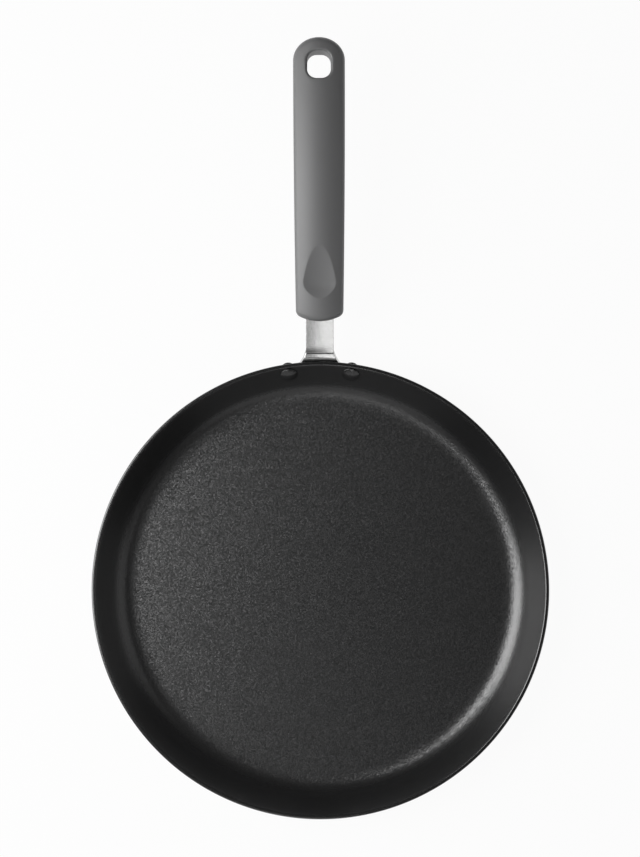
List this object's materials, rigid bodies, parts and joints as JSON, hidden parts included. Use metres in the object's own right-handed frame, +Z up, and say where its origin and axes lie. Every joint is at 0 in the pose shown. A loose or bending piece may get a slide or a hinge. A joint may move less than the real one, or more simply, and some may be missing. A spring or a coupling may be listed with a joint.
{
  "type": "crepe pan",
  "caption": "Low round crepe pan with a sloped wall, non-stick coating and a long soft-touch handle with thumb dimple and hanging hole.",
  "frame": {"origin": "centre of the pan's flat base, on its underside", "axes": "+Y from the pan's centre out along the handle, +Z up out of the dish, +X to the right seen from above with the handle away"},
  "size_m": [0.28, 0.473, 0.0596],
  "materials": {
    "coated_aluminium": "pressed aluminium with a dark, finely speckled non-stick coating",
    "steel": "satin stamped stainless steel",
    "grip_soft": "matt soft-touch",
    "grip_rigid": "matt moulded",
    "screw_steel": "plated"
  },
  "bodies": {
    "root": {"pan_body": "coated_aluminium", "handle_bracket": "steel", "rivet_left": "coated_aluminium", "rivet_right": "coated_aluminium", "grip_core": "grip_rigid", "grip_sleeve": "grip_soft", "grip_screw": "screw_steel", "grip_nut": "screw_steel"}
  },
  "joints": []
}
